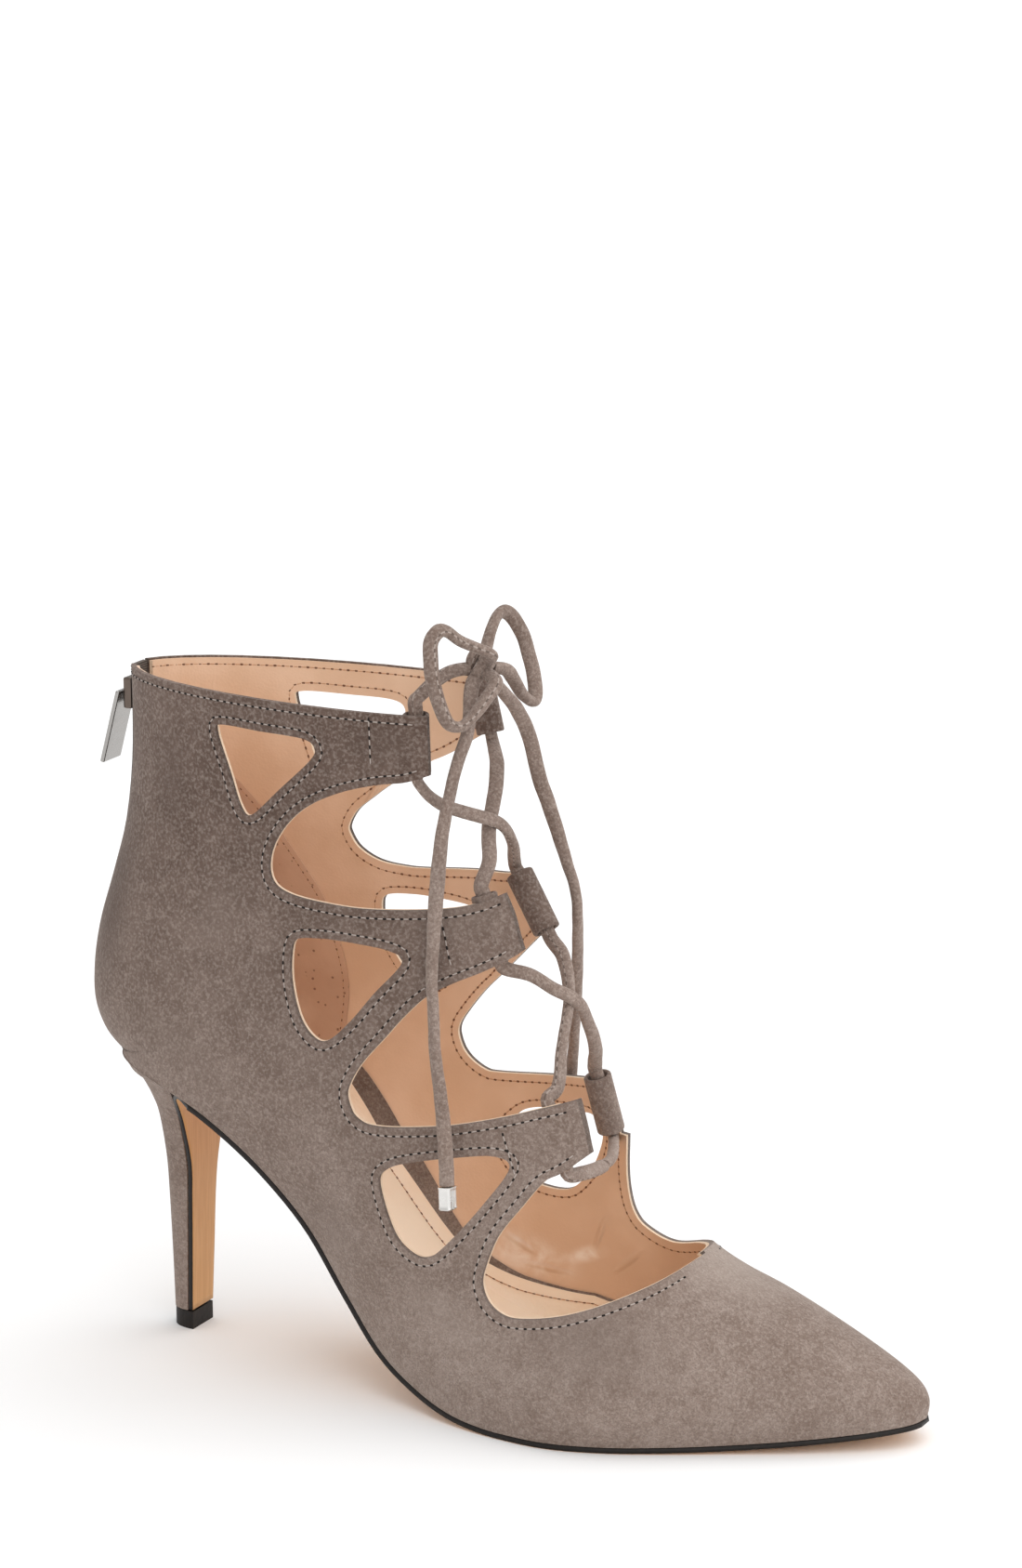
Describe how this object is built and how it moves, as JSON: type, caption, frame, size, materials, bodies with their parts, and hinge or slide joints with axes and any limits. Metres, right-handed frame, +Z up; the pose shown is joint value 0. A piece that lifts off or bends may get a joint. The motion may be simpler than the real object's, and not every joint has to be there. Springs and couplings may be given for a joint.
{
  "type": "lace-up heel",
  "caption": "Women's right lace-up heel: cut-out suede ankle upper with lace tunnels and tied bow, pointed toe, slim covered heel and back zip.",
  "frame": {"origin": "on the floor at the middle of the heel's top lift", "axes": "+X towards the toe, +Y towards the inner (medial) side of the foot, +Z up"},
  "size_m": [0.2281, 0.0796, 0.1959],
  "materials": {
    "suede": "soft napped taupe-grey suede",
    "heel_suede": "soft napped taupe-grey suede over the heel",
    "tan_lining": "smooth tan lining leather, satin",
    "tan_sole_leather": "smooth tan sole leather, satin",
    "black_lift": "hard matte black",
    "zip_tape": "dark woven tape with gunmetal teeth",
    "slider_metal": "polished silver",
    "pull_metal": "polished silver",
    "lace_suede": "rolled taupe-grey suede cord",
    "tip_metal": "polished silver"
  },
  "bodies": {
    "shoe": {"upper": "suede", "insole": "tan_lining", "outsole": "tan_sole_leather", "heel": "heel_suede", "top_lift": "black_lift", "zip_tape": "zip_tape", "zip_slider": "slider_metal", "lace_crossings": "lace_suede", "lace_knot": "lace_suede", "lace_bow_lateral": "lace_suede", "lace_bow_medial": "lace_suede", "lace_end_lateral": "lace_suede", "lace_end_medial": "lace_suede", "lace_tip_lateral": "tip_metal", "lace_tip_medial": "tip_metal"},
    "pull": {"zip_pull": "pull_metal"}
  },
  "joints": [
    {"name": "zip_pull_hinge", "type": "hinge", "parent": "shoe", "child": "pull", "pos_m": [-0.01414, 0, 0.166], "axis": [0, 1, 0], "range_deg": [-10, 140]}
  ]
}
